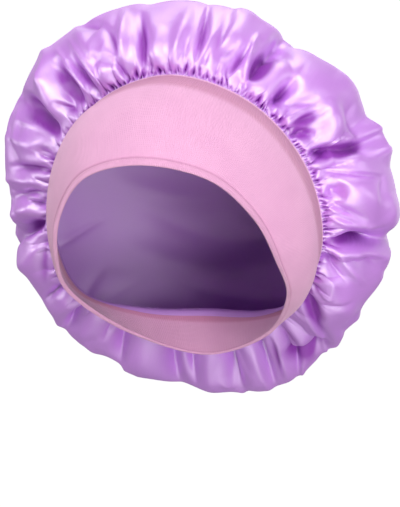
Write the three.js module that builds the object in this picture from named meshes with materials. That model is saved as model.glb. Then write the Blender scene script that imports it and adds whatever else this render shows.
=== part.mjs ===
// Sleep bonnet: a wide knit band and a full satin crown gathered on to its rear edge, in worn form.
// Millimetres, +Z up. The face opening looks towards -Y. The origin is the middle of the hollow that
// the bonnet closes round. Angles start at the top front and rise towards +X.

import * as THREE from "three";

// Driving dimensions, and the steps and shares that the folds are drawn with
const BAND_WALL = 2.4;
const CROWN_WALL = 1.2;
const SEAM_GAP = 0.8;
const SEAM_INSET = BAND_WALL / 4;
const BAND_STATIONS = 54;
const CROWN_STATIONS = 108;
const CROWN_ROWS = 16;
const ROW_CROWDING = 1.2;
const FOLD_GROWN = 0.3;
const FOLD_FADES = 0.55;
const NORMAL_TURN = 0.5;
const NORMAL_STEP = 0.002;

// The gathered loop lies in a plane that leans back, and the crown grows from it along TILT.
const TILT = THREE.MathUtils.degToRad(20);
const LEAN = THREE.MathUtils.degToRad(-12);
const RIM = 0.4;
const AXIS = new THREE.Vector3(0, Math.cos(TILT), Math.sin(TILT));
const LOOP_MIDDLE = new THREE.Vector3(0, 20, 30);
const POLE = new THREE.Vector3(0, 132, 24);

// Outer faces of the two loops at each angle round the bonnet: the brow edge and the gathered seam.
// bulge is how far the band stands off the straight line between them, rise how far the crown
// stands out from the seam and run how far back its fullest ring lies.
const SECTION_COLUMNS = {
  browX: 1, browY: 2, browZ: 3, seamX: 4, seamY: 5, seamZ: 6, bulge: 7, rise: 8, run: 9,
};
const SECTIONS = [
  // angle, brow x, y, z, seam x, y, z, bulge, rise, run
  [0, 0, -87, 64, 0, -20, 114, 11, 25, 52],
  [30, 38, -77, 55, 47, -13, 98, 10, 24, 52],
  [60, 60, -57, 31.5, 78, 0, 61, 8, 32, 50],
  [90, 69, -35, 4.5, 87, 12, 15, 5, 39, 46],
  [120, 69, -2, -21, 69, 32, -24, 3, 42, 40],
  [150, 45, 47, -50, 40, 66, -39, 2, 61, 32],
  [180, 0, 70, -66, 0, 84, -41, 2, 72, 28],
  [210, -45, 47, -50, -41, 66, -39, 2, 62, 30],
  [240, -69, -2, -21, -73, 31, -24, 2, 44, 38],
  [270, -68, -35, 4.5, -84.5, 12, 14, 2.5, 34, 46],
  [300, -59, -57, 32, -75, -1, 61, 5.5, 45, 50],
  [330, -37, -77, 56, -46, -14, 98, 9, 39, 52],
];

// Shape of the band from the brow edge to the seam: share of the way and share of the bulge.
const BAND_PROFILE = [
  // along, height
  [0, 0],
  [0.1, 0.38],
  [0.27, 0.8],
  [0.48, 1],
  [0.66, 0.97],
  [0.78, 0.82],
  [0.9, 0.42],
  [1, 0],
];

// Main folds of the crown. angle is where a fold leaves the seam, drift how far it swings round on
// its way to the pole, width its half width, all in degrees. depth is in millimetres, out of the
// crown where it is above zero. start and end are shares of the way from the seam to the pole.
const FOLD_COLUMNS = { angle: 0, drift: 1, width: 2, depth: 3, start: 4, end: 5 };
const FOLDS = [
  // angle, drift, width, depth, start, end
  [20.5, 2, 3, -6, 0.02, 0.36],
  [27, 0, 3, -7, 0.05, 0.45],
  [35, 0, 4, 3, 0.08, 0.6],
  [38, 0, 3, -5, 0.03, 0.28],
  [44, 12, 3, -5, 0.03, 0.3],
  [47, 0, 6, 5, 0.2, 0.8],
  [59, 5, 4, -7, 0.04, 0.55],
  [65, 4, 3, 5, 0.06, 0.7],
  [79, 0, 5, 4, 0.05, 0.7],
  [89.5, 2, 3, -9, 0.01, 0.5],
  [94, 8, 4, 4, 0.05, 0.6],
  [115, 0, 5, 3, 0.1, 0.7],
  [121, 18, 3, -5, 0.02, 0.4],
  [135, 4, 4, -6, 0.15, 0.5],
  [149, 10, 3, 4, 0.1, 0.6],
  [158, 4, 3, -5, 0.08, 0.5],
  [167, 2, 4, 4, 0.1, 0.7],
  [176, 0, 3, -5, 0.03, 0.5],
  [186, 0, 4, 4, 0.06, 0.6],
  [195, -2, 3, -6, 0.03, 0.5],
  [205, 0, 5, 4, 0.08, 0.7],
  [216, -3, 3, -5, 0.03, 0.5],
  [226, 0, 4, 4, 0.06, 0.6],
  [236, -3, 3, -5, 0.03, 0.5],
  [258, 3, 4, 5, 0.1, 0.6],
  [272, -8, 3, -7, 0.05, 0.55],
  [281, 0, 4, 5, 0.08, 0.6],
  [287, -2, 3, -4, 0.03, 0.35],
  [294.5, -2, 3, -6, 0.02, 0.38],
  [302, 0, 3, 5, 0.08, 0.6],
  [310, -2, 4, -10, 0.03, 0.42],
  [316, -2, 3, 5, 0.03, 0.6],
  [324.5, -2, 3.5, -8, 0.04, 0.38],
  [331.5, 0, 3, -5, 0.03, 0.3],
  [337, 0, 3, 3, 0.1, 0.6],
  [347, 1, 3, 4, 0.04, 0.6],
  [352.5, 0, 3, -6, 0.02, 0.45],
  [358.5, 0, 4, 3, 0.05, 0.6],
];

// Reads a column of a table of even angle steps as one smooth loop.
function around(column, angle) {
  const count = SECTIONS.length;
  const place = (THREE.MathUtils.euclideanModulo(angle, 360) / 360) * count;
  const row = Math.floor(place);
  const share = place - row;
  const [before, start, end, after] = [-1, 0, 1, 2].map(
    (step) => SECTIONS[(row + step + count) % count][column],
  );
  const bend = 2 * before - 5 * start + 4 * end - after + share * (3 * (start - end) + after - before);
  return start + 0.5 * share * (end - before + share * bend);
}

function loopPoint(columnX, angle) {
  return new THREE.Vector3(...[0, 1, 2].map((step) => around(columnX + step, angle)));
}

// Direction square to the crown's axis, outwards at this angle.
function outward(angle) {
  const reach = loopPoint(SECTION_COLUMNS.seamX, angle).sub(LOOP_MIDDLE);
  return reach.addScaledVector(AXIS, -reach.dot(AXIS)).normalize();
}

// A point of the band: along is the share of the way from brow edge to seam, inset its depth in.
function bandPoint(angle, along, height, inset) {
  const brow = loopPoint(SECTION_COLUMNS.browX, angle);
  const seam = loopPoint(SECTION_COLUMNS.seamX, angle);
  const across = seam.clone().sub(brow).normalize();
  const out = outward(angle);
  out.addScaledVector(across, -out.dot(across)).normalize();
  const lift = around(SECTION_COLUMNS.bulge, angle) * height - inset;
  return brow.lerp(seam, along).addScaledVector(out, lift);
}

// How far the folds push the crown out at this place.
function foldLift(angle, along) {
  let lift = 0;
  for (const row of FOLDS) {
    const start = row[FOLD_COLUMNS.start];
    const end = row[FOLD_COLUMNS.end];
    const grown = THREE.MathUtils.lerp(start, end, FOLD_GROWN);
    const fades = THREE.MathUtils.lerp(start, end, FOLD_FADES);
    const middle = row[FOLD_COLUMNS.angle] + (row[FOLD_COLUMNS.drift] * along) / RIM;
    const away = THREE.MathUtils.euclideanModulo(angle - middle + 180, 360) - 180;
    const share = away / row[FOLD_COLUMNS.width];
    const rising = THREE.MathUtils.smoothstep(along, start, grown);
    const falling = 1 - THREE.MathUtils.smoothstep(along, fades, end);
    lift += row[FOLD_COLUMNS.depth] * Math.exp(-share * share) * rising * falling;
  }
  return lift;
}

// The smooth crown: a quarter turn out from the seam to the fullest ring, then a dome to the pole.
function smoothCrown(angle, along) {
  const seam = bandPoint(angle, 1, 0, SEAM_INSET).addScaledVector(AXIS, SEAM_GAP);
  const out = outward(angle);
  const rise = around(SECTION_COLUMNS.rise, angle);
  const run = around(SECTION_COLUMNS.run, angle);
  if (along < RIM) {
    const turn = LEAN + (Math.PI / 2 - LEAN) * (along / RIM);
    const outShare = (Math.sin(turn) - Math.sin(LEAN)) / (1 - Math.sin(LEAN));
    const backShare = (Math.cos(LEAN) - Math.cos(turn)) / Math.cos(LEAN);
    return seam.addScaledVector(out, rise * outShare).addScaledVector(AXIS, run * backShare);
  }
  const ring = seam.addScaledVector(out, rise).addScaledVector(AXIS, run).sub(POLE);
  const depth = ring.dot(AXIS);
  const turn = (Math.PI / 2) * ((along - RIM) / (1 - RIM));
  const flat = ring.addScaledVector(AXIS, -depth).multiplyScalar(Math.cos(turn));
  return flat.addScaledVector(AXIS, depth * (1 - Math.sin(turn))).add(POLE);
}

// Outward normal of a surface given as a function of angle and share of the way.
function surfaceNormal(surface, angle, along) {
  const low = Math.max(along - NORMAL_STEP, 0);
  const high = Math.min(along + NORMAL_STEP, 1 - NORMAL_STEP);
  const round = surface(angle + NORMAL_TURN, along).sub(surface(angle - NORMAL_TURN, along));
  const back = surface(angle, high).sub(surface(angle, low));
  return round.cross(back).normalize();
}

function crownPoint(angle, along) {
  const point = smoothCrown(angle, along);
  return point.addScaledVector(surfaceNormal(smoothCrown, angle, along), foldLift(angle, along));
}

// One closed body from a loop of points at every station.
function ringBody(stations, loopAt) {
  const points = [];
  const faces = [];
  let size = 0;
  for (let station = 0; station < stations; station += 1) {
    const loop = loopAt((360 * station) / stations);
    size = loop.length;
    points.push(...loop);
  }
  for (let station = 0; station < stations; station += 1) {
    const here = station * size;
    const next = ((station + 1) % stations) * size;
    for (let corner = 0; corner < size; corner += 1) {
      const beside = (corner + 1) % size;
      faces.push(here + corner, next + corner, next + beside);
      faces.push(here + corner, next + beside, here + beside);
    }
  }
  return { points, faces };
}

function toMesh(name, { points, faces }, material) {
  const geometry = new THREE.BufferGeometry().setFromPoints(points);
  geometry.setIndex(faces);
  geometry.computeVertexNormals();
  const mesh = new THREE.Mesh(geometry, material);
  mesh.name = name;
  return mesh;
}

// The band is a ring of stations, each a closed section with an outer and an inner face.
function makeBand() {
  const knit = new THREE.MeshStandardMaterial({ color: 0xf3bfe2, roughness: 0.92, metalness: 0 });
  const body = ringBody(BAND_STATIONS, (angle) => {
    const outer = BAND_PROFILE.map(([along, height]) => bandPoint(angle, along, height, 0));
    const inner = BAND_PROFILE.map(([along, height]) => bandPoint(angle, along, height, BAND_WALL));
    return [...outer, ...inner.reverse()];
  });
  return toMesh("band", body, knit);
}

// The crown is an outer and an inner skin that meet in a narrow edge at the seam. Each station runs
// from the inner pole down to the seam and back up the outside, and the two poles close the skins.
function makeCrown() {
  const satin = new THREE.MeshStandardMaterial({ color: 0xc9a0ea, roughness: 0.35, metalness: 0 });
  const shares = Array.from({ length: CROWN_ROWS }, (_, row) => (row / CROWN_ROWS) ** ROW_CROWDING);
  const size = 2 * CROWN_ROWS;
  const points = [];
  const faces = [];
  for (let station = 0; station < CROWN_STATIONS; station += 1) {
    const angle = (360 * station) / CROWN_STATIONS;
    const outer = shares.map((share) => crownPoint(angle, share));
    const inner = shares.map((share, row) => {
      const normal = surfaceNormal(crownPoint, angle, share);
      return outer[row].clone().addScaledVector(normal, -CROWN_WALL);
    });
    points.push(...inner.reverse(), ...outer);
  }
  const innerPole = points.push(POLE.clone().addScaledVector(AXIS, -CROWN_WALL)) - 1;
  const outerPole = points.push(POLE.clone()) - 1;
  for (let station = 0; station < CROWN_STATIONS; station += 1) {
    const here = station * size;
    const next = ((station + 1) % CROWN_STATIONS) * size;
    for (let corner = 0; corner < size - 1; corner += 1) {
      faces.push(here + corner, next + corner + 1, here + corner + 1);
      faces.push(here + corner, next + corner, next + corner + 1);
    }
    faces.push(innerPole, next, here);
    faces.push(outerPole, here + size - 1, next + size - 1);
  }
  return toMesh("crown", { points, faces }, satin);
}

const bonnet = new THREE.Group();
bonnet.add(makeBand(), makeCrown());

export default bonnet;
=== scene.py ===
# Sleep bonnet in worn form: a ribbed knit band with a rolled brow hem, and a gathered satin crown.
# Lengths in the tables are millimetres and angles are degrees round the bonnet, from the top front
# towards +X. The face opening looks towards -Y. Meshes are turned to metres when they are made.
import math

import bpy
import numpy as np
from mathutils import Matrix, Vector


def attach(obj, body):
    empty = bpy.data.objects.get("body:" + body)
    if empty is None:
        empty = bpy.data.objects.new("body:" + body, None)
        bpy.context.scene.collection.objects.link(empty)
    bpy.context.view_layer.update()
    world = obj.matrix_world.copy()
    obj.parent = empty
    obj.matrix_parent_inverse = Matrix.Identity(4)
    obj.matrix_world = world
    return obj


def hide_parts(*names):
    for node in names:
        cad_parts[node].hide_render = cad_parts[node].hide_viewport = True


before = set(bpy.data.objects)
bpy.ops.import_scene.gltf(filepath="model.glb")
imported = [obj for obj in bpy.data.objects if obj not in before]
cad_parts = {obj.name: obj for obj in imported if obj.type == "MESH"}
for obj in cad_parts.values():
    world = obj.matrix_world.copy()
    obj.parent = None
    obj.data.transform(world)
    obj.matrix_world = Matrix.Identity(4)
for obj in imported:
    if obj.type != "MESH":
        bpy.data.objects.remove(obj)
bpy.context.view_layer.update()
MM = 0.001

# Camera: its direction from the origin, its distance and its aim beside the origin in metres, and
# its lens and sensor in millimetres
AZIMUTH = math.radians(14)
ELEVATION = math.radians(5)
DISTANCE = 1.3
AIM_RIGHT = 0.0131
AIM_UP = 0.0052
LENS = 151.3
SENSOR = 36

# The photo's pixels: where the origin lies in it, and how many pixels a length equal to its own
# distance from the camera takes up
PICTURE_X = 178.5
PICTURE_Y = 262.0
FOCAL_PIXELS = 2131.0

# Stage, in millimetres: a flat floor that bends up into a round wall
FLOOR_Z = -1700.0
FLOOR_RING = 1500.0
STAGE_RADIUS = 6000.0
STAGE_HEIGHT = 7000.0
STAGE_BEND = 2000.0
STAGE_SIDES = 72
BEND_STEP = 10
STAGE_WHITE = 0.9
STAGE_ROUGH = 0.9
STAGE_GLOW = 0.75

# Lamps, in metres and watts. They all point at LAMP_AIM. WORLD_LIGHT comes evenly from all round.
WORLD_LIGHT = 0.27
LAMP_AIM = (0, 0.05, 0.03)
LAMP_COLUMNS = ("name", "place", "size", "power")
LAMPS = [
    ("key", (0.1, -1.3, 1.15), 1.0, 19),
    ("front", (1.1, -1.4, 0.1), 0.8, 11),
    ("low", (0.8, -1.1, -0.7), 0.8, 8),
    ("floor", (0.2, -0.4, -1.4), 1.2, 3),
    ("side", (-1.4, -0.9, 0.3), 0.7, 8),
    ("top", (0.1, 0.6, 1.5), 1.0, 9),
    ("right", (1.6, 0.1, 0.3), 0.6, 3),
    ("left", (-1.6, 0.1, 0.2), 0.6, 2.5),
    ("back left", (0.5, 1.8, 0.2), 1.4, 6),
    ("back right", (-0.5, 1.7, 0.6), 1.4, 6),
]

# The crown without folds: the axis that it grows along, how far its first rows lean back, the share
# of the way to the pole where it is fullest, the point that outward directions start from, the
# pole of its back, and the power that rounds the dome
TILT = math.radians(20)
LEAN = math.radians(2)
RIM = 0.4
AXIS = np.array([0.0, math.cos(TILT), math.sin(TILT)])
LOOP_MIDDLE = np.array([0.0, 20.0, 30.0])
POLE = np.array([0.0, 132.0, 24.0])
DOME_ROUND = 0.85

# The band: its wall, the width and the loop of its cloth map, and the share of that width at which
# the ridge lies
BAND_WALL = 2.4
BAND_WIDTH = 85.0
BAND_LOOP = 570.0
RIDGE_PLACE = 0.78

# Outer face of the band: the share of the way where its hump is highest, how far the hump then
# drops, and how high the strip behind the ridge starts, both as shares of the bulge
HUMP_PEAK = 0.55
HUMP_DROP = 0.1
STRIP_CREST = 0.9

# Section of the band, as rows of the share of the way from brow to seam and the inset from the outer
# face. SEAM_LIP is the turned lip, FACE_ENDS and FACE_ROWS the outer face, HEM the rolled brow hem
# from its groove round the fold, INSIDE_ENDS and INSIDE_ROWS the inside, and SEAM_END the sewn end.
SEAM_LIP = [(1.0, 0.1), (0.997, -0.18), (0.990, -0.26), (0.984, -0.12), (0.979, 0.05)]
FACE_ENDS = (0.972, 0.06)
FACE_ROWS = 52
HEM = [
    (0.052, 0.12),
    (0.045, 0.50),
    (0.040, 0.62),
    (0.035, 0.45),
    (0.028, 0.08),
    (0.020, -0.22),
    (0.010, -0.22),
    (0.002, 0.10),
    (-0.004, 0.70),
    (-0.006, 1.25),
    (-0.002, 1.90),
    (0.010, 2.30),
]
INSIDE_ENDS = (0.03, 0.985)
INSIDE_ROWS = 24
SEAM_END = [(0.997, 2.2), (1.003, 1.7), (1.005, 1.1), (1.004, 0.5)]

# The line where the satin leaves the band: how far it lies past the band's rear end at the front and
# at the nape, its inset from the band's outer face, and how steeply a fold may rise out of it
FRONT_GAP = 1.6
NAPE_GAP = 3.2
SEAM_INSET = 1.1
SEAM_STEEPEST = 0.35

# The satin's seam allowance, from its cut edge inside the band to that line: how far each row lies
# past the band's rear end, and its inset from the band's outer face
SEAM_TUCK = [(-2.4, 3.1), (0.3, 3.0), (1.4, 2.2)]

# Section of a fold: a core and, in a valley, wider flanks that round the lobes between two valleys.
# A fold widens by its spread on the way to the fullest ring.
VALLEY_GAIN = 1.3
RIDGE_GAIN = 0.85
VALLEY_SPREAD = 0.3
RIDGE_SPREAD = 0.9
FOLD_POWER = 1.6
FLANK_WIDTH = 2.6
FLANK_SHARE = 0.35

# Course of a fold: the shares of its length where it is fully up and where it starts to fall, how
# many times the way to the fullest ring it goes on drifting, and its low tail, which grows in for
# folds whose end lies between the two TAILED shares
FOLD_UP = 0.35
FOLD_FALLS = 0.45
DRIFT_MOST = 1.3
TAILED = (0.3, 0.4)
TAIL_SHARE = 0.13
TAIL_LENGTH = 0.35

# Section of the hollows and puffs of the front: how much steeper the sharp side is, how wide the
# tips are, and how round the section and its ends are. They fade where the crown turns away from
# the camera, between two cosines of the angle between them.
LEAF_GAIN = 1.12
LEAF_STEEP = 0.55
LEAF_TIP = 0.4
LEAF_POWER = 1.9
LEAF_END = 1.1
LEAF_FACING = (-0.30, 0.10)

# Lobes between the valleys that are at least VALLEY_DEPTH deep: the height that a lobe takes from its
# width, its most, its section, where 1 is a half wave and less is rounder, the share of its height
# that lies behind the smooth crown, and the shares of the way where it is full and where it ends
VALLEY_DEPTH = -3.9
LOBE_RATIO = 0.42
LOBE_MOST = 6.5
LOBE_ROUND = 0.75
LOBE_SINK = 0.6
LOBE_FULL = 0.1
LOBE_END = 0.36

# Loose creases that wander over the lobes: how many, and the least and most of their place and
# length as shares of the way, of their lean and half width in degrees, of their height, and of the
# ratio between the half widths of their two sides
CREASES = 110
CREASE_PLACE = (0.12, 0.72)
CREASE_LENGTH = (0.05, 0.16)
CREASE_LEAN = (-45, 45)
CREASE_WIDTH = (1.0, 2.6)
CREASE_HEIGHT = (0.8, 2.8)
CREASE_SIDES = (0.5, 2.2)
CREASE_POWER = 1.5

# Slack of the crown's back: swags that hang between its sides, and broad swells. Columns: the middle
# of each swag across and up, its half span, its sag, its half width and its height, in millimetres.
# The slack grows in between the two BACK_FROM shares of the way.
SWAG_COLUMNS = ("across", "up", "span", "sag", "width", "height")
SWAGS = [
    (-12, 96, 58, 14, 7, 3.0),
    (18, 74, 66, 20, 6, -3.2),
    (-22, 52, 62, 22, 8, 3.4),
    (10, 30, 74, 26, 6, -3.4),
    (-6, 8, 80, 26, 9, 4.0),
    (20, -16, 66, 22, 6, -3.6),
    (-14, -36, 62, 18, 8, 3.6),
    (8, -62, 56, 12, 7, -2.6),
]
SWAG_TIP = 1.5
BACK_FROM = (0.38, 0.62)

# Swells: their height, and for each the waves in a millimetre across and up, and its start in radians
SWELL = 1.5
SWELL_WAVES = [(0.031, 0.012, 0.4), (-0.017, 0.035, 1.9), (0.046, 0.028, 3.3), (0.052, -0.041, 5.2)]

# Mesh sizes: the crown's rows have fewer stations further from the seam, where its folds are wider,
# and each row lies a little further on than the one before
CROWN_STATIONS = 1536
CROWN_ROWS = 104
HALF_FROM = 22
QUARTER_FROM = 62
FINE_ROW = 0.0055
ROW_GROWTH = 1.012
LAST_SHARE = 0.985
BAND_STATIONS = 480

# Cloth map and painted shade of the crown: the loop of its cloth map, the depth at which a gather
# gets full painted shade, the distances from the seam where that painted shade starts to fade and
# ends, the depths where the painted shade of the front's hollows starts and is full, and how dark
# the painted shade is in those hollows and on the allowance
CROWN_SEED = 7
CROWN_LOOP = 900.0
GATHER_SHADE = 2.4
SHADE_FADES = (6.0, 16.0)
LEAF_SHADE = (1.0, 4.4)
PAINTED_LEAF_SHADE = 0.85
PAINTED_TUCK_SHADE = 0.5

# A row for every 30 degrees: the band's brow edge and gathered seam, how far the band stands off
# the straight line between them, where its ridge lies and how crisp it is, and the crown's rise
# out from the seam and run back to its fullest ring.
SECTION_COLUMNS = ("brow_x", "brow_y", "brow_z", "seam_x", "seam_y", "seam_z",
                   "bulge", "ridge", "soft", "rise", "run")
SECTIONS = [
    (0, -87, 64, 0, -20, 114, 11, 0.74, 0.08, 28, 52),
    (38, -77, 55, 47, -13, 98, 10, 0.73, 0.07, 28, 52),
    (60, -57, 31.5, 78, 0, 61, 8, 0.72, 0.06, 32, 50),
    (69, -35, 4.5, 87, 12, 15, 7, 0.70, 0.02, 41, 46),
    (69, -2, -21, 69, 32, -24, 5, 0.75, 0.03, 42, 40),
    (45, 47, -50, 40, 66, -39, 2, 0.82, 0.10, 61, 32),
    (0, 70, -66, 0, 84, -41, 2, 0.80, 0.10, 74, 28),
    (-45, 47, -50, -41, 66, -39, 2, 0.80, 0.10, 62, 30),
    (-69, -2, -21, -73, 31, -24, 2, 0.80, 0.10, 44, 38),
    (-68, -35, 4.5, -84.5, 12, 14, 2.5, 0.84, 0.06, 39, 46),
    (-59, -57, 32, -75, -1, 61, 5.5, 0.82, 0.07, 49, 50),
    (-37, -77, 56, -46, -14, 98, 9, 0.75, 0.07, 39, 52),
]

# Folds of the crown, read from the photo round the front and made up round the back. angle is
# where the fold leaves the seam and drift how far it has swung round at the fullest ring. before
# and after are its half widths on the two sides, in degrees. depth is out of the crown where it is
# above zero. start and end are shares of the way from the seam to the pole.
FOLD_COLUMNS = ("angle", "drift", "before", "after", "depth", "start", "end")
FOLDS = [
    (4.5, 0, 0.9, 0.9, -1.8, 0.05, 0.26),
    (11, 1, 0.8, 0.8, -1.8, 0.06, 0.24),
    (25.4, 3, 0.9, 3.4, -11.0, 0.22, 0.56),
    (37.8, 1, 1.8, 2.2, -4.8, 0.01, 0.26),
    (41.8, 2, 1.0, 1.2, 2.0, 0.01, 0.12),
    (43.6, 6, 2.0, 2.0, -3.2, 0.05, 0.28),
    (45.2, 5, 0.8, 0.8, 2.2, 0.02, 0.22),
    (52, 4, 1.6, 1.6, -3.0, 0.03, 0.24),
    (55.2, 10, 1.2, 1.2, 2.8, 0.01, 0.24),
    (59.4, 2, 1.6, 1.6, -5.5, 0.03, 0.17),
    (58.5, 3, 4.0, 3.0, -5.0, 0.25, 0.56),
    (64.0, 7, 3.0, 1.4, -6.0, 0.20, 0.54),
    (72.5, 1, 1.4, 1.6, -3.2, 0.03, 0.14),
    (76.3, 26, 1.0, 1.4, 2.4, 0.01, 0.17),
    (78.5, 22, 1.6, 1.4, -2.8, 0.03, 0.22),
    (90.4, 7, 2.6, 1.3, -13.0, 0.00, 0.50),
    (98.6, 2, 1.3, 1.3, -4.2, 0.00, 0.09),
    (105.5, 6, 2.0, 2.4, 3.6, 0.00, 0.15),
    (138, 4, 5.0, 4.0, -8.5, 0.14, 0.52),
    (146.6, 11, 0.9, 2.4, -4.4, 0.03, 0.46),
    (156, 4, 3.5, 3.5, 3.6, 0.08, 0.60),
    (162, 3, 2.2, 1.2, -5.0, 0.02, 0.36),
    (168, 2, 3.5, 3.0, 3.8, 0.08, 0.65),
    (175, -1, 1.4, 2.8, -5.0, 0.01, 0.38),
    (183, 1, 3.5, 3.0, 4.0, 0.06, 0.60),
    (189, -2, 1.6, 1.4, -4.2, 0.01, 0.30),
    (195, -3, 3.4, 1.6, -6.2, 0.02, 0.44),
    (204, 0, 4.5, 4.5, 4.0, 0.08, 0.68),
    (213, -4, 1.4, 3.0, -5.0, 0.01, 0.38),
    (219, -2, 1.2, 1.2, -3.0, 0.01, 0.20),
    (225, 1, 3.5, 4.0, 3.8, 0.06, 0.60),
    (234, -5, 2.6, 1.2, -5.0, 0.02, 0.36),
    (246, -3, 1.4, 2.6, -4.2, 0.02, 0.32),
    (258, 3, 5.0, 5.0, 4.6, 0.10, 0.60),
    (267, -4, 1.2, 1.6, -2.4, 0.00, 0.14),
    (277, -18, 1.1, 3.4, -6.5, 0.06, 0.46),
    (280.6, 1, 1.5, 1.4, -4.2, 0.00, 0.13),
    (284.2, -6, 1.0, 1.0, 2.2, 0.01, 0.18),
    (299.4, -1, 1.4, 1.4, -3.4, 0.00, 0.12),
    (306.6, -5, 1.3, 4.4, -5.0, 0.16, 0.48),
    (319, 0, 1.2, 1.5, -3.6, 0.02, 0.17),
]

# Hollows and puffs of the side that faces the camera, read from the photo in its own pixels.
# x and y are the middle of each, lean its direction in degrees up from the picture's right, length
# and width its half sizes, sharp how steep its left side is as seen along the lean (below zero the
# right side), bend how far its middle stands to the left of its ends, and depth in millimetres.
LEAF_COLUMNS = ("x", "y", "lean", "length", "width", "sharp", "bend", "depth")
LEAVES = [
    (262, 60, 60, 26, 9, 0.9, 4, -9.0),
    (240, 59, 55, 22, 4, -0.6, 0, -4.0),
    (251, 56, 72, 27, 4, 0.2, 3, 3.4),
    (228, 48, 35, 17, 6, 0.0, 0, -2.2),
    (225, 30, 64, 27, 6, -0.4, 0, -3.0),
    (202, 33, 77, 32, 4, 0.6, 0, -4.0),
    (183, 47, 74, 16, 2.4, 0.0, 0, -1.6),
    (181, 36, 72, 32, 8, 0.0, 0, 3.2),
    (240, 22, 40, 26, 12, 0.0, 0, 2.6),
    (157, 46, 80, 22, 9, 0.0, 0, 2.0),
    (143, 44, 93, 34, 5, 0.3, 0, -5.0),
    (124, 36, 90, 30, 6, 0.0, 0, 4.4),
    (122, 70, 118, 14, 3.5, 0.3, 0, -3.4),
    (113, 42, 112, 21, 5, -0.5, -3, -3.6),
    (92, 25, 8, 16, 4, 0.5, 3, -2.4),
    (86, 45, 120, 22, 9, 0.0, 0, 3.4),
    (106, 62, 165, 15, 5, 0.0, 0, -2.2),
    (87, 64, 127, 34, 3, 0.0, 0, 2.8),
    (86, 76, 127, 27, 5, -0.7, 0, -5.0),
    (74, 73, 127, 33, 3, 0.0, 0, 3.0),
    (69, 83, 126, 31, 9, -0.8, 0, -7.5),
    (49, 86, 97, 40, 9, 0.0, 6, 5.0),
    (67, 109, 152, 15, 4, -0.4, 0, -3.4),
    (38, 114, 130, 35, 10, -0.7, -2, -10.0),
    (31, 128, 150, 24, 3, 0.0, -4, 2.4),
    (22, 142, 160, 20, 7, 0.0, 0, 2.6),
    (30, 167, 177, 21, 5, -0.5, 0, -4.6),
    (22, 181, 175, 20, 5, 0.0, 0, 2.2),
    (28, 194, 8, 20, 4, 0.5, 2, -3.4),
    (22, 211, 38, 24, 8, 0.0, 0, 4.0),
    (31, 231, 26, 18, 7, -0.8, 0, -6.5),
    (30, 259, 62, 22, 7, 0.0, 0, 2.4),
    (44, 262, 88, 34, 6, 0.0, 0, -3.0),
    (285, 91, 47, 20, 6, 0.4, 2, -4.6),
    (322, 76, -40, 44, 18, 0.0, 0, 4.0),
    (300, 102, 12, 20, 5, 0.2, 2, -2.4),
    (300, 111, 28, 22, 2.6, 0.0, 0, 2.0),
    (308, 117, 24, 22, 7, 0.8, 0, -6.0),
    (332, 122, -62, 24, 12, 0.0, 4, 4.0),
    (301, 134, 8, 18, 7, 0.2, 0, -4.6),
    (352, 143, 14, 34, 8, 0.8, -6, -9.0),
    (357, 118, -52, 30, 7, 0.0, 0, -2.6),
    (358, 92, -56, 52, 15, 0.0, 0, 5.5),
    (384, 140, -62, 28, 9, 0.0, 0, 5.5),
    (366, 156, 14, 30, 7, 0.0, 0, 4.2),
    (322, 155, -12, 14, 7, 0.3, 0, -3.8),
    (354, 174, -4, 36, 3.4, 0.6, 0, -2.6),
    (364, 196, -30, 30, 15, 0.0, 0, 3.4),
    (394, 214, -86, 22, 7, 0.0, 0, 3.2),
    (335, 195, -10, 11, 6, 0.0, 0, -2.6),
    (349, 211, -26, 24, 4, 0.4, 0, -2.8),
    (358, 225, -14, 34, 4, -0.3, -5, 3.0),
    (358, 243, -3, 34, 5, 0.8, 0, -8.0),
    (362, 254, -8, 30, 6, 0.0, 0, 3.0),
    (373, 263, -42, 16, 7, 0.0, 0, -2.8),
    (350, 269, -47, 25, 5, 0.0, 0, 3.2),
    (333, 268, -48, 22, 4, 0.3, 0, -2.6),
    (321, 282, -60, 18, 4, 0.0, 0, 3.4),
    (314, 306, -58, 20, 6, 0.4, 0, -5.0),
    (386, 282, 63, 42, 11, 0.0, 0, 5.5),
    (340, 300, -52, 40, 13, 0.0, 0, 3.2),
    (316, 322, -64, 40, 4.5, -0.6, -4, -4.6),
    (322, 340, -60, 26, 4, 0.0, 0, 2.4),
    (334, 350, 54, 22, 9, 0.0, 0, 4.5),
    (306, 354, 6, 27, 9, 0.7, 0, -8.0),
    (288, 335, -52, 20, 4, -0.4, -2, -3.0),
    (276, 358, -74, 24, 4, 0.4, 0, -3.4),
    (262, 368, -70, 24, 6, 0.0, 0, 2.6),
]

# Gathers: every level halves the number of folds and reaches further from the seam. wave is how
# many seam folds make one, height their height, start and end where they grow in and die out,
# sink the share of the height that lies behind the smooth crown. A gather is fully up at the first,
# and starts to fall at the second, of the GATHER_COURSE shares of its reach.
PUCKERS = 256
GATHER_COLUMNS = ("wave", "height", "start", "end", "sink")
GATHERS = [
    (1, 2.5, 0.0, 5.5, 1.0),
    (2, 2.8, 1.0, 9.5, 0.85),
    (4, 2.4, 3.0, 18.0, 0.65),
    (8, 1.2, 8.0, 34.0, 0.55),
]
GATHER_COURSE = (0.25, 0.35)
GATHER_ROUND = 0.85
GATHER_EASE = 0.01
GATHER_MOST = 5.5

# How unlike each other the gathers are: the least and most of a seam fold's relative width, and of
# the factors on the lean, the height and the reach of each gather
PUCKER_WIDTH = (0.4, 1.8)
GATHER_LEAN = (0.7, 1.4)
GATHER_HEIGHT = (0.15, 1.5)
GATHER_REACH = (0.6, 1.1)

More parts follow.
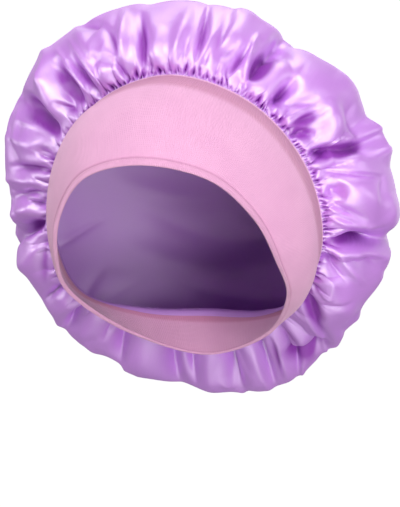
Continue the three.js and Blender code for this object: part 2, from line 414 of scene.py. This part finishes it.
# Waves that move and crush the gathers, as their count round the bonnet and their start in radians.
# Those that bunch them have a height in degrees first, reached at BUNCH_FULL from the seam. WANDER
# is the degrees that they swing at WANDER_FULL from it, and CRUSH the most height that they lose.
BUNCH_WAVES = [(0.9, 17, 2), (0.5, 41, 0)]
BUNCH_FULL = 10
WANDER = 1.1
WANDER_WAVE = (5, 1)
WANDER_FULL = 60
CRUSH = 0.4
CRUSH_WAVES = [(11, 0.5), (4, 2)]


def around(name, angle):
    """Reads one column of the section table as a smooth closed loop."""
    column = np.array([row[SECTION_COLUMNS.index(name)] for row in SECTIONS], float)
    count = len(column)
    place = (np.asarray(angle, float) % 360) / 360 * count
    row = np.floor(place).astype(int)
    share = place - row
    before, start, end, after = (column[(row + step) % count] for step in (-1, 0, 1, 2))
    bend = 2 * before - 5 * start + 4 * end - after + share * (3 * (start - end) + after - before)
    return start + 0.5 * share * (end - before + share * bend)


def loop_point(name, angle):
    """A point of the brow or seam loop."""
    return np.stack([around(f"{name}_{axis}", angle) for axis in "xyz"], -1)


def unit(vector):
    return vector / np.linalg.norm(vector, axis=-1, keepdims=True)


def outward(angle):
    """Direction square to the crown's axis, away from it."""
    reach = loop_point("seam", angle) - LOOP_MIDDLE
    return unit(reach - (reach @ AXIS)[..., None] * AXIS)


def camera_axes():
    """Directions from the piece to the camera, to the picture's right and to its top."""
    back = np.array([math.sin(AZIMUTH) * math.cos(ELEVATION),
                     -math.cos(AZIMUTH) * math.cos(ELEVATION), math.sin(ELEVATION)])
    right = np.array([math.cos(AZIMUTH), math.sin(AZIMUTH), 0.0])
    return back, right, np.cross(right, -back)


def smoothstep(low, high, value):
    share = np.clip((value - low) / (high - low), 0, 1)
    return share * share * (3 - 2 * share)


def wave(angle, count, start):
    """A sine wave that runs count times round the bonnet."""
    return np.sin(np.radians(angle * count) + start)


def make_mesh(name, points, faces):
    """Makes a smooth mesh object from points in millimetres."""
    mesh = bpy.data.meshes.new(name)
    mesh.from_pydata((np.asarray(points) * MM).tolist(), [], faces)
    mesh.validate()
    mesh.polygons.foreach_set("use_smooth", [True] * len(mesh.polygons))
    mesh.update()
    piece = bpy.data.objects.new(name, mesh)
    bpy.context.scene.collection.objects.link(piece)
    return piece


def add_uv(piece, coordinates, loop):
    """Stores lengths in metres as the piece's UV map. The first wraps round after one loop."""
    layer = piece.data.uv_layers.new(name="cloth")
    corners = np.zeros(len(piece.data.loops), int)
    piece.data.loops.foreach_get("vertex_index", corners)
    place = coordinates[corners]
    starts = np.zeros(len(piece.data.polygons), int)
    piece.data.polygons.foreach_get("loop_start", starts)
    sizes = np.diff(np.append(starts, len(corners)))
    most = np.maximum.reduceat(place[:, 0], starts)
    least = np.minimum.reduceat(place[:, 0], starts)
    wraps = np.repeat(most - least > loop / 2, sizes)
    place[:, 0] += loop * (wraps & (place[:, 0] < loop / 2))
    layer.data.foreach_set("uv", (place * MM).ravel())


def grid_faces(stations, rows):
    """Faces of rows of points, each row a closed ring of stations."""
    row = np.arange(rows - 1)[:, None] * stations
    station = np.arange(stations)[None, :]
    beside = (station + 1) % stations
    corners = (row + station, row + beside, row + stations + beside, row + stations + station)
    return np.stack(corners, -1).reshape(-1, 4)


def ring_faces(outer, inner):
    """Faces between two closed rings, where the inner one has as many points or half as many."""
    after = np.roll(inner, -1)
    if len(outer) == len(inner):
        return np.stack([outer, np.roll(outer, -1), after, inner], -1).tolist()
    first, middle, last = outer[::2], outer[1::2], np.roll(outer[::2], -1)
    corners = [(first, middle, inner), (middle, last, after), (middle, after, inner)]
    return np.concatenate([np.stack(corner, -1) for corner in corners]).tolist()


# Band


def band_height(along, ridge, soft):
    """Share of the bulge across the band: a hump, then a strip that falls away behind the ridge."""
    hump = 1 - (1 - np.minimum(along / HUMP_PEAK, 1)) ** 2
    hump = hump - HUMP_DROP * (np.maximum(along - HUMP_PEAK, 0) / (ridge - HUMP_PEAK)) ** 2
    strip = STRIP_CREST * (1 - (along - ridge) / (1 - ridge))
    gap = strip - hump
    return 0.5 * (strip + hump - np.sqrt(gap * gap + soft * soft))


def band_face(angle, along, inset):
    """A point of the band's outer face, moved in by inset."""
    brow = loop_point("brow", angle)
    seam = loop_point("seam", angle)
    across = unit(seam - brow)
    out = outward(angle)
    out = unit(out - (out * across).sum(-1, keepdims=True) * across)
    height = band_height(along, around("ridge", angle), around("soft", angle))
    ends = band_height(np.ones_like(along), around("ridge", angle), around("soft", angle))
    height = height - ends * along
    lift = around("bulge", angle) * height - inset
    return brow + (seam - brow) * np.asarray(along)[..., None] + out * lift[..., None]


def past_band(angle, gap, inset):
    """A point that lies past the band's rear end by gap, under its outer face by inset."""
    width = np.linalg.norm(loop_point("seam", angle) - loop_point("brow", angle), axis=-1)
    return band_face(angle, 1 + gap / width, inset)


def band_section():
    """The band's section from the seam over the outside to the brow and back along the inside."""
    face = [(share, 0.0) for share in np.linspace(*FACE_ENDS, FACE_ROWS)]
    inside = [(share, BAND_WALL) for share in np.linspace(*INSIDE_ENDS, INSIDE_ROWS)]
    return np.array(SEAM_LIP + face + HEM + inside + SEAM_END)


def band_cloth(angle, along):
    """Places on the band's cloth map, where the ridge is a straight line."""
    ridge = around("ridge", angle)
    front = along / ridge * RIDGE_PLACE
    behind = RIDGE_PLACE + (along - ridge) / (1 - ridge) * (1 - RIDGE_PLACE)
    place = np.where(along < ridge, front, behind) * BAND_WIDTH
    return np.stack([angle / 360 * BAND_LOOP, place], -1).reshape(-1, 2)


def make_band():
    """The knit band as one closed ring."""
    section = band_section()
    angles = np.arange(BAND_STATIONS) / BAND_STATIONS * 360
    along, angle = np.meshgrid(section[:, 0], angles, indexing="ij")
    inset = np.broadcast_to(section[:, 1][:, None], angle.shape)
    points = band_face(angle, along, inset).reshape(-1, 3)
    last = (len(section) - 1) * BAND_STATIONS
    station = np.arange(BAND_STATIONS)
    beside = (station + 1) % BAND_STATIONS
    closing = np.stack([last + station, last + beside, beside, station], -1)
    faces = np.concatenate([grid_faces(BAND_STATIONS, len(section)), closing]).tolist()
    band = make_mesh("knit_band", points, faces)
    add_uv(band, band_cloth(angle, along), BAND_LOOP)
    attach(band, "root")
    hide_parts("band")
    band.data.materials.append(knit_material())


# Crown


def smooth_crown(angle, along):
    """The crown without folds: a quarter turn out from the seam, then a dome to the pole."""
    gap = FRONT_GAP + (NAPE_GAP - FRONT_GAP) * np.sin(np.radians(angle / 2)) ** 2
    seam = past_band(angle, gap, SEAM_INSET)
    out = outward(angle)
    rise = around("rise", angle)[..., None]
    run = around("run", angle)[..., None]
    turn = LEAN + (math.pi / 2 - LEAN) * np.clip(along / RIM, 0, 1)[..., None]
    out_share = (np.sin(turn) - math.sin(LEAN)) / (1 - math.sin(LEAN))
    back_share = (math.cos(LEAN) - np.cos(turn)) / math.cos(LEAN)
    front = seam + out * rise * out_share + AXIS * run * back_share
    ring = seam + out * rise + AXIS * run - POLE
    depth = (ring @ AXIS)[..., None]
    turn = math.pi / 2 * np.clip((along - RIM) / (1 - RIM), 0, 1)[..., None]
    inwards = np.cos(turn) ** DOME_ROUND
    back = POLE + (ring - depth * AXIS) * inwards + depth * AXIS * (1 - np.sin(turn))
    return np.where((along < RIM)[..., None], front, back)


def charted_folds(angle, along):
    """Height of the charted folds at each place."""
    lift = np.zeros_like(angle)
    for row in FOLDS:
        fold = dict(zip(FOLD_COLUMNS, row))
        middle = fold["angle"] + fold["drift"] * np.minimum(along / RIM, DRIFT_MOST)
        away = (angle - middle + 180) % 360 - 180
        ridge = fold["depth"] > 0
        spread = 1 + (RIDGE_SPREAD if ridge else VALLEY_SPREAD) * along / RIM
        width = np.where(away < 0, fold["before"], fold["after"]) * spread
        core = np.exp(-np.abs(away / width) ** FOLD_POWER)
        flank = np.exp(-np.abs(away / width / FLANK_WIDTH))
        shape = core if ridge else core + FLANK_SHARE * (flank - core)
        gain = RIDGE_GAIN if ridge else VALLEY_GAIN
        lift += gain * fold["depth"] * shape * fold_course(along, fold["start"], fold["end"])
    return lift


def fold_course(along, start, end):
    """How far up a fold is at each share of the way."""
    length = end - start
    tail = TAIL_SHARE * smoothstep(*TAILED, end)
    rising = smoothstep(start, start + FOLD_UP * length, along)
    falling = 1 - smoothstep(start + FOLD_FALLS * length, end, along)
    falling = (1 - tail) * falling + tail * (1 - smoothstep(end, end + TAIL_LENGTH, along))
    return rising * falling


def pictured_leaves(points, normal):
    """Height of the charted hollows and puffs at places that face the camera."""
    back, right, up = camera_axes()
    reach = DISTANCE / MM - points @ back
    x = PICTURE_X + FOCAL_PIXELS * (points @ right) / reach
    y = PICTURE_Y - FOCAL_PIXELS * (points @ up) / reach
    lift = np.zeros_like(x)
    for row in LEAVES:
        leaf = dict(zip(LEAF_COLUMNS, row))
        lean = math.radians(leaf["lean"])
        across = (x - leaf["x"]) * math.cos(lean) - (y - leaf["y"]) * math.sin(lean)
        aside = -(x - leaf["x"]) * math.sin(lean) - (y - leaf["y"]) * math.cos(lean)
        inner = np.clip(1 - (across / leaf["length"]) ** 2, 0, 1)
        aside = aside - leaf["bend"] * (inner - 0.5)
        steep = np.where(aside > 0, leaf["sharp"], -leaf["sharp"])
        width = leaf["width"] * (1 - LEAF_STEEP * steep) * (LEAF_TIP + (1 - LEAF_TIP) * np.sqrt(inner))
        lift += leaf["depth"] * np.exp(-np.abs(aside / width) ** LEAF_POWER) * inner ** LEAF_END
    return LEAF_GAIN * lift * smoothstep(*LEAF_FACING, normal @ back)


def gathers(angle, distance, rng):
    """Height of the fine folds that the gathered seam sets off, coarser further from it."""
    steps = rng.uniform(*PUCKER_WIDTH, PUCKERS)
    edges = np.concatenate([[0], np.cumsum(steps)]) / steps.sum() * 360
    wander = WANDER * wave(angle, *WANDER_WAVE) * distance / WANDER_FULL
    bunch = sum(height * wave(angle, count, start) for height, count, start in BUNCH_WAVES)
    place = (angle + wander + bunch * np.clip(distance / BUNCH_FULL, 0, 1)) % 360
    lift = np.zeros_like(angle)
    for row in GATHERS:
        lift += gather_level(place, distance, dict(zip(GATHER_COLUMNS, row)), edges, rng)
    crush = CRUSH * wave(angle, *CRUSH_WAVES[0]) * wave(angle, *CRUSH_WAVES[1])
    lift = lift * (1 - crush)
    return np.where(lift < 0, GATHER_MOST * np.tanh(lift / GATHER_MOST), lift)


def gather_level(place, distance, level, edges, rng):
    """Height of the gathers of one level."""
    marks = edges[::level["wave"]]
    count = len(marks) - 1
    fold = np.clip(np.searchsorted(marks, place, side="right") - 1, 0, count - 1)
    share = (place - marks[fold]) / (marks[fold + 1] - marks[fold])
    skew = rng.uniform(*GATHER_LEAN, count)[fold]
    height = rng.uniform(*GATHER_HEIGHT, count)[fold]
    reach = level["end"] * rng.uniform(*GATHER_REACH, count)[fold]
    up, falls = GATHER_COURSE
    start = level["start"]
    crest = np.sin(math.pi * share ** skew) ** GATHER_ROUND - level["sink"]
    rising = smoothstep(start - GATHER_EASE, start + up * reach, distance)
    falling = 1 - smoothstep(falls * reach, reach, distance)
    return level["height"] * height * crest * rising * falling


def lobes(angle, along, base):
    """Height of the lobes that stand up between the deeper valleys."""
    valleys = [dict(zip(FOLD_COLUMNS, row)) for row in FOLDS]
    valleys = [fold for fold in valleys if fold["depth"] <= VALLEY_DEPTH]
    starts = np.array([fold["angle"] for fold in valleys], float)
    drifts = np.array([fold["drift"] for fold in valleys], float)
    lift = np.zeros_like(angle)
    for row, share in enumerate(along[:, 0]):
        marks = np.sort((starts + drifts * min(share / RIM, DRIFT_MOST)) % 360)
        marks = np.concatenate([[marks[-1] - 360], marks, [marks[0] + 360]])
        lobe = np.searchsorted(marks, angle[row], side="right") - 1
        gap = marks[lobe + 1] - marks[lobe]
        place = (angle[row] - marks[lobe]) / gap
        step = np.linalg.norm(np.roll(base[row], -1, 0) - base[row], axis=-1)
        width = gap * step * CROWN_STATIONS / 360
        height = LOBE_MOST * np.tanh(LOBE_RATIO * width / LOBE_MOST)
        lift[row] = height * (np.sin(math.pi * place) ** LOBE_ROUND - LOBE_SINK)
    fading = 1 - smoothstep(LOBE_FULL, LOBE_END, along)
    return lift * smoothstep(0.0, LOBE_FULL, along) * fading


def back_slack(points, along):
    """Height of the slack folds over the back, in millimetres of the view from behind."""
    across = points[..., 0]
    up = points[..., 2]
    lift = np.zeros_like(across)
    for row in SWAGS:
        swag = dict(zip(SWAG_COLUMNS, row))
        side = (across - swag["across"]) / swag["span"]
        middle = swag["up"] - swag["sag"] * (1 - side * side)
        away = (up - middle) / swag["width"]
        lift += swag["height"] * np.exp(-away * away) * np.clip(1 - side * side, 0, 1) ** SWAG_TIP
    for x_wave, z_wave, start in SWELL_WAVES:
        lift += SWELL * np.sin(across * x_wave + up * z_wave + start)
    return lift * smoothstep(*BACK_FROM, along)


def loose_creases(angle, along, rng):
    """Height of short soft creases with seeded places, lengths and leans."""
    lift = np.zeros_like(angle)
    for _ in range(CREASES):
        middle = rng.uniform(0, 360)
        share = rng.uniform(*CREASE_PLACE)
        length = rng.uniform(*CREASE_LENGTH)
        lean = rng.uniform(*CREASE_LEAN)
        width = rng.uniform(*CREASE_WIDTH)
        height = rng.choice([-1, 1]) * rng.uniform(*CREASE_HEIGHT)
        up = (along - share) / length
        away = (angle - middle - lean * (along - share) + 180) % 360 - 180
        side = np.where(away < 0, width, width * rng.uniform(*CREASE_SIDES))
        section = np.exp(-np.abs(away / side) ** CREASE_POWER)
        lift += height * section * np.clip(1 - up * up, 0, 1) ** 2
    return lift


def row_shares():
    """Where the crown's rows lie between the seam and the pole, fine at the seam."""
    shares = np.cumsum(FINE_ROW * ROW_GROWTH ** np.arange(CROWN_ROWS - 1))
    return np.concatenate([[0], shares / shares[-1] * LAST_SHARE])


def crown_angles():
    return np.arange(CROWN_STATIONS) / CROWN_STATIONS * 360


def surface_normal(points):
    round_way = np.roll(points, -1, 1) - np.roll(points, 1, 1)
    return unit(np.cross(round_way, np.gradient(points, axis=0)))


def crown_sheet():
    """The satin's rows from the seam to the pole: points, places on the cloth and painted shade."""
    rng = np.random.default_rng(CROWN_SEED)
    along, angle = np.meshgrid(row_shares(), crown_angles(), indexing="ij")
    base = smooth_crown(angle, along)
    steps = np.linalg.norm(np.diff(base, axis=0), axis=-1)
    distance = np.concatenate([np.zeros((1, CROWN_STATIONS)), np.cumsum(steps, axis=0)])
    normal = surface_normal(base)
    leaves = pictured_leaves(base, normal)
    lift = charted_folds(angle, along) + lobes(angle, along, base)
    lift += loose_creases(angle, along, rng) + back_slack(base, along)
    lift = np.minimum(lift + leaves, SEAM_STEEPEST * distance)
    points = base + normal * lift[..., None]
    gather = gathers(angle, distance, rng)
    points += surface_normal(points) * gather[..., None]
    cloth = np.stack([angle / 360 * CROWN_LOOP, distance], -1)
    # Painted shade, deep in the gathers near the seam and in the deep hollows of the front, for the
    # satin's colour and gloss
    shade = np.clip(-gather / GATHER_SHADE, 0, 1) * (1 - smoothstep(*SHADE_FADES, distance))
    shade = np.maximum(shade, PAINTED_LEAF_SHADE * smoothstep(*LEAF_SHADE, -leaves))
    return points, cloth, shade


def with_allowance(points, cloth, shade):
    """Adds the rows of the seam allowance before the rows of the sheet."""
    tuck = np.stack([past_band(crown_angles(), gap, inset) for gap, inset in SEAM_TUCK])
    count = len(tuck)
    tuck_cloth = cloth[:count] * [1, 0] - cloth[count:0:-1] * [0, 1]
    # Painted shade on the allowance rows that lie under the band
    tuck_shade = np.full((count, CROWN_STATIONS), PAINTED_TUCK_SHADE)
    points = np.concatenate([tuck, points])
    cloth = np.concatenate([tuck_cloth, cloth])
    return points, cloth, np.concatenate([tuck_shade, shade])


def kept_stations():
    """For each row of the sheet, the numbers of the points that the mesh keeps."""
    tucked = len(SEAM_TUCK)
    kept = []
    for row in range(tucked + CROWN_ROWS):
        stride = 1 if row < tucked + HALF_FROM else 2 if row < tucked + QUARTER_FROM else 4
        kept.append(row * CROWN_STATIONS + np.arange(0, CROWN_STATIONS, stride))
    return kept


def crown_faces(kept):
    """Faces between the kept rows, and a fan from the last row to the pole."""
    starts = np.cumsum([0] + [len(row) for row in kept])
    rings = [np.arange(start, end) for start, end in zip(starts, starts[1:])]
    faces = []
    for outer, inner in zip(rings, rings[1:]):
        faces.extend(ring_faces(outer, inner))
    pole = int(starts[-1])
    last = rings[-1].tolist()
    faces.extend([start, end, pole] for start, end in zip(last, last[1:] + last[:1]))
    return faces


def make_crown():
    """The satin crown as one open sheet, from its cut edge inside the band to the pole."""
    points, cloth, shade = with_allowance(*crown_sheet())
    kept = kept_stations()
    picks = np.concatenate(kept)
    points = np.concatenate([points.reshape(-1, 3)[picks], points[-1].mean(0)[None]])
    cloth = np.concatenate([cloth.reshape(-1, 2)[picks], cloth[-1].mean(0)[None]])
    crown = make_mesh("satin_crown", points, crown_faces(kept))
    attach(crown, "root")
    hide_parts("crown")
    add_uv(crown, cloth, CROWN_LOOP)
    # The painted shade goes on the points as an attribute that the satin reads
    painted_shade = crown.data.attributes.new("painted_shade", "FLOAT", "POINT")
    painted_shade.data.foreach_set("value", np.append(shade.ravel()[picks], 0.0))
    crown.data.materials.append(satin_material())


# Materials

# Satin: its colour, the painted shade deep in the gathers and hollows, the colour of the reverse, the
# share of the gloss that the reverse loses, and the roughness with what slubs and the reverse add to
# it
SATIN = (0.60, 0.20, 0.79)
SATIN_PAINTED_SHADE = (0.25, 0.03, 0.37)
SATIN_REVERSE = (0.50, 0.24, 0.66)
SATIN_IOR = 2.25
REVERSE_DULL = 0.55
SATIN_ROUGH = 0.38
SLUB_ROUGH = 0.10
REVERSE_ROUGH = 0.12

# The satin's weave: the pitch of its threads in metres, how closely its slubs lie across and along
# the threads, for each metre, their height beside a thread's, and the depth of the whole in metres
THREAD_PITCH = 0.0005
SLUB_ACROSS = 1400.0
SLUB_ALONG = 60.0
SLUB_DETAIL = 3
SLUB_HEIGHT = 2.5
WEAVE_DEPTH = 0.00002
WEAVE_STRENGTH = 0.7

# Uneven tone of the satin: patches, then streaks along its slubs
TONE_SCALE = 22
TONE_DETAIL = 3
TONE_STOPS = [(0.3, (0.90, 0.86, 0.93)), (0.7, (1.0, 1.0, 1.0))]
STREAK_STOPS = [(0.3, (0.93, 0.91, 0.95)), (0.7, (1.0, 1.0, 1.0))]

# Knit: its even colour and matt sheen
KNIT = (0.80, 0.40, 0.66)
KNIT_ROUGH = 0.88
KNIT_GLOSS = 0.25
KNIT_SHEEN = 0.25
SHEEN_ROUGH = 0.5

# The knit's stitches: the pitch of its wales and courses in metres, how far the stitches lean, the
# heights of stitches and fuzz beside a wale's, and the depth of the whole in metres
RIB_PITCH = 0.00125
COURSE_PITCH = 0.0014
STITCH_LEAN = 1.6
STITCH_HEIGHT = 0.35
FUZZ_SCALE = 900
FUZZ_DETAIL = 3
FUZZ_HEIGHT = 1.2
KNIT_DEPTH = 0.00022
KNIT_STRENGTH = 0.5

# Colour across the band from the brow edge to the seam, with painted shade in the hem groove and in
# the strip behind the ridge and a painted highlight on the seam lip, then its mottling and the
# painted shade between the wales, which is the height of the stitches times a gain, from a start
BAND_STOPS_WITH_PAINTED_LIGHT = [
    (0.0, (0.71, 0.36, 0.56)),
    (0.036, (0.70, 0.35, 0.55)),
    (0.044, (0.56, 0.25, 0.42)),
    (0.055, (0.74, 0.38, 0.59)),
    (0.74, (0.75, 0.385, 0.60)),
    (0.81, (0.60, 0.24, 0.41)),
    (0.965, (0.54, 0.20, 0.36)),
    (0.985, (0.79, 0.44, 0.66)),
]
MOTTLE_SCALE = 60
MOTTLE_DETAIL = 4
MOTTLE_STOPS = [(0.35, (0.96, 0.94, 0.96)), (0.65, (1.0, 1.0, 1.0))]
RIB_SHADE_GAIN = 0.25
RIB_SHADE_START = 0.4
RIB_PAINTED_SHADE_STOPS = [(0.0, (0.94, 0.89, 0.93)), (0.6, (1.0, 1.0, 1.0))]


def new_material(name, color, roughness):
    """Adds a material and returns it with its node tree and its shader."""
    material = bpy.data.materials.new(name)
    material.use_nodes = True
    shader = material.node_tree.nodes["Principled BSDF"]
    shader.inputs["Base Color"].default_value = (*color, 1)
    shader.inputs["Roughness"].default_value = roughness
    return material, material.node_tree, shader


def cloth_axes(tree):
    """Adds the piece's cloth map and returns its two axes, in metres of cloth."""
    cloth = tree.nodes.new("ShaderNodeUVMap")
    cloth.uv_map = "cloth"
    split = tree.nodes.new("ShaderNodeSeparateXYZ")
    tree.links.new(cloth.outputs["UV"], split.inputs[0])
    return split.outputs[0], split.outputs[1]


def math_node(tree, operation, *values):
    """Adds a Math node, whose inputs are sockets or numbers, and returns its output."""
    node = tree.nodes.new("ShaderNodeMath")
    node.operation = operation
    for socket, value in zip(node.inputs, values):
        if isinstance(value, (int, float)):
            socket.default_value = value
        else:
            tree.links.new(value, socket)
    return node.outputs[0]


def turns_node(tree, length, pitch):
    """Adds a length divided by a pitch, as an angle in radians."""
    return math_node(tree, "MULTIPLY", length, 2 * math.pi / pitch)


def ramp_node(tree, value, stops):
    """Adds a colour ramp from (place, colour) stops."""
    node = tree.nodes.new("ShaderNodeValToRGB")
    while len(node.color_ramp.elements) < len(stops):
        node.color_ramp.elements.new(1.0)
    for element, (place, color) in zip(node.color_ramp.elements, stops):
        element.position = place
        element.color = (*color, 1)
    tree.links.new(value, node.inputs["Fac"])
    return node.outputs["Color"]


def noise_node(tree, scale, detail):
    """Adds a noise texture in the piece's own coordinates and returns its value."""
    place = tree.nodes.new("ShaderNodeTexCoord")
    noise = tree.nodes.new("ShaderNodeTexNoise")
    noise.inputs["Scale"].default_value = scale
    noise.inputs["Detail"].default_value = detail
    tree.links.new(place.outputs["Object"], noise.inputs["Vector"])
    return noise.outputs["Fac"]


def slub_node(tree, across, along):
    """Adds the satin's slubs, a noise that is long along the threads, and returns its value."""
    stretch = tree.nodes.new("ShaderNodeCombineXYZ")
    tree.links.new(math_node(tree, "MULTIPLY", across, SLUB_ACROSS), stretch.inputs[0])
    tree.links.new(math_node(tree, "MULTIPLY", along, SLUB_ALONG), stretch.inputs[1])
    slub = tree.nodes.new("ShaderNodeTexNoise")
    slub.inputs["Scale"].default_value = 1.0
    slub.inputs["Detail"].default_value = SLUB_DETAIL
    tree.links.new(stretch.outputs[0], slub.inputs["Vector"])
    return slub.outputs["Fac"]


def mix_node(tree, blend, share, first, second):
    """Adds a colour mix, whose inputs are sockets, colours or a number, and returns its output."""
    node = tree.nodes.new("ShaderNodeMix")
    node.data_type = "RGBA"
    node.blend_type = blend
    sockets = [node.inputs[0], node.inputs[6], node.inputs[7]]
    for socket, value in zip(sockets, (share, first, second)):
        if isinstance(value, (int, float)):
            socket.default_value = value
        elif isinstance(value, tuple):
            socket.default_value = (*value, 1)
        else:
            tree.links.new(value, socket)
    return node.outputs[2]


def bump_node(tree, shader, height, distance, strength):
    bump = tree.nodes.new("ShaderNodeBump")
    bump.inputs["Strength"].default_value = strength
    bump.inputs["Distance"].default_value = distance
    tree.links.new(height, bump.inputs["Height"])
    tree.links.new(bump.outputs["Normal"], shader.inputs["Normal"])


def satin_material():
    """Lavender satin: white sheen on a deep ground, fine threads, slubs, painted shade, duller
    reverse.
    """
    material, tree, shader = new_material("lavender_satin", SATIN, SATIN_ROUGH)
    shader.inputs["IOR"].default_value = SATIN_IOR
    across, along = cloth_axes(tree)
    slub = slub_node(tree, across, along)
    shade = tree.nodes.new("ShaderNodeAttribute")
    shade.attribute_name = "painted_shade"
    painted_shade = shade.outputs["Fac"]
    back = tree.nodes.new("ShaderNodeNewGeometry").outputs["Backfacing"]
    thread = math_node(tree, "SINE", turns_node(tree, across, THREAD_PITCH))
    weft = math_node(tree, "SINE", turns_node(tree, along, THREAD_PITCH))
    weave = math_node(tree, "MULTIPLY", thread, weft)
    height = math_node(tree, "MULTIPLY_ADD", slub, SLUB_HEIGHT, weave)
    bump_node(tree, shader, height, WEAVE_DEPTH, WEAVE_STRENGTH)
    tone = ramp_node(tree, noise_node(tree, TONE_SCALE, TONE_DETAIL), TONE_STOPS)
    color = mix_node(tree, "MULTIPLY", 1.0, SATIN, tone)
    color = mix_node(tree, "MULTIPLY", 1.0, color, ramp_node(tree, slub, STREAK_STOPS))
    # Painted shade: deep in the gathers and hollows the colour turns to the dark shade colour
    color = mix_node(tree, "MIX", painted_shade, color, SATIN_PAINTED_SHADE)
    color = mix_node(tree, "MIX", back, color, SATIN_REVERSE)
    tree.links.new(color, shader.inputs["Base Color"])
    # Painted shade also takes the gloss away in the gathers and hollows
    light = math_node(tree, "MULTIPLY_ADD", painted_shade, -1.0, 1.0)
    dulled = math_node(tree, "MULTIPLY_ADD", back, -REVERSE_DULL, 1.0)
    gloss = math_node(tree, "MULTIPLY", light, dulled)
    tree.links.new(gloss, shader.inputs["Specular IOR Level"])
    rough = math_node(tree, "MULTIPLY_ADD", slub, SLUB_ROUGH, SATIN_ROUGH)
    rough = math_node(tree, "MULTIPLY_ADD", back, REVERSE_ROUGH, rough)
    tree.links.new(rough, shader.inputs["Roughness"])
    return material


def knit_material():
    """Matt pink rib knit: fine wales across the band, painted shade between them and towards the seam.
    """
    material, tree, shader = new_material("pink_knit", KNIT, KNIT_ROUGH)
    shader.inputs["Specular IOR Level"].default_value = KNIT_GLOSS
    shader.inputs["Sheen Weight"].default_value = KNIT_SHEEN
    shader.inputs["Sheen Roughness"].default_value = SHEEN_ROUGH
    length, width = cloth_axes(tree)
    wale = turns_node(tree, length, RIB_PITCH)
    rib = math_node(tree, "SINE", wale)
    lean = math_node(tree, "SINE", math_node(tree, "MULTIPLY", wale, 0.5))
    lean = math_node(tree, "ABSOLUTE", lean)
    course = turns_node(tree, width, COURSE_PITCH)
    stitch = math_node(tree, "SINE", math_node(tree, "MULTIPLY_ADD", lean, STITCH_LEAN, course))
    fuzz = noise_node(tree, FUZZ_SCALE, FUZZ_DETAIL)
    height = math_node(tree, "MULTIPLY_ADD", stitch, STITCH_HEIGHT, rib)
    height = math_node(tree, "MULTIPLY_ADD", fuzz, FUZZ_HEIGHT, height)
    bump_node(tree, shader, height, KNIT_DEPTH, KNIT_STRENGTH)
    # Painted shade in the hem groove and behind the ridge, and a painted highlight on the seam lip
    strip = ramp_node(tree, math_node(tree, "DIVIDE", width, BAND_WIDTH * MM), BAND_STOPS_WITH_PAINTED_LIGHT)
    mottle = ramp_node(tree, noise_node(tree, MOTTLE_SCALE, MOTTLE_DETAIL), MOTTLE_STOPS)
    # Painted shade between the wales, from the stitches' height
    shade = math_node(tree, "MULTIPLY_ADD", height, RIB_SHADE_GAIN, RIB_SHADE_START)
    color = mix_node(tree, "MULTIPLY", 1.0, strip, mottle)
    color = mix_node(tree, "MULTIPLY", 1.0, color, ramp_node(tree, shade, RIB_PAINTED_SHADE_STOPS))
    tree.links.new(color, shader.inputs["Base Color"])
    return material


def stage_material():
    """A pale matt floor that glows a little, so that it stays even."""
    material, _, shader = new_material("pale_floor", (STAGE_WHITE,) * 3, STAGE_ROUGH)
    shader.inputs["Emission Color"].default_value = (1, 1, 1, 1)
    shader.inputs["Emission Strength"].default_value = STAGE_GLOW
    return material


# Stage, camera and lights


def make_stage():
    """A pale floor that turns up into a wall all round. Only the camera sees it."""
    turns = np.radians(np.arange(0, 90 + BEND_STEP, BEND_STEP))
    bend = STAGE_RADIUS - STAGE_BEND + STAGE_BEND * np.sin(turns)
    radius = np.concatenate([[FLOOR_RING], bend, [STAGE_RADIUS]])
    height = np.concatenate([[0], STAGE_BEND * (1 - np.cos(turns)), [STAGE_HEIGHT]]) + FLOOR_Z
    angles = np.arange(STAGE_SIDES) / STAGE_SIDES * 2 * math.pi
    rows = []
    for r, z in zip(radius, height):
        rows.append(np.stack([r * np.sin(angles), r * np.cos(angles), np.full(STAGE_SIDES, z)], -1))
    points = np.concatenate(rows + [[[0.0, 0.0, FLOOR_Z]]])
    faces = grid_faces(STAGE_SIDES, len(rows)).tolist()
    middle = len(points) - 1
    faces.extend([i, (i + 1) % STAGE_SIDES, middle] for i in range(STAGE_SIDES))
    stage = make_mesh("pale_floor", points, faces)
    stage.data.materials.append(stage_material())
    stage.visible_diffuse = False
    stage.visible_glossy = False
    stage.visible_shadow = False


def make_camera():
    """The camera at the photo's angle, aimed a little to the right of the origin and above it."""
    back, right, up = (Vector(axis) for axis in camera_axes())
    target = right * AIM_RIGHT + up * AIM_UP
    camera = bpy.data.objects.new("camera", bpy.data.cameras.new("camera"))
    camera.location = back * DISTANCE
    camera.rotation_euler = (target - camera.location).to_track_quat("-Z", "Y").to_euler()
    camera.data.lens = LENS
    camera.data.sensor_width = SENSOR
    bpy.context.scene.collection.objects.link(camera)
    bpy.context.scene.camera = camera


def make_light(name, place, size, power):
    """A round lamp that points at LAMP_AIM."""
    light = bpy.data.lights.new(name, "AREA")
    light.shape = "DISK"
    light.size = size
    light.energy = power
    lamp = bpy.data.objects.new(name, light)
    lamp.location = place
    lamp.rotation_euler = (Vector(LAMP_AIM) - Vector(place)).to_track_quat("-Z", "Y").to_euler()
    bpy.context.scene.collection.objects.link(lamp)


def make_lights():
    world = bpy.data.worlds.new("studio")
    world.use_nodes = True
    background = world.node_tree.nodes["Background"]
    background.inputs["Color"].default_value = (1, 1, 1, 1)
    background.inputs["Strength"].default_value = WORLD_LIGHT
    bpy.context.scene.world = world
    for row in LAMPS:
        make_light(**dict(zip(LAMP_COLUMNS, row)))


make_camera()
make_band()
make_crown()
make_stage()
make_lights()
bpy.context.scene.view_settings.view_transform = "Standard"
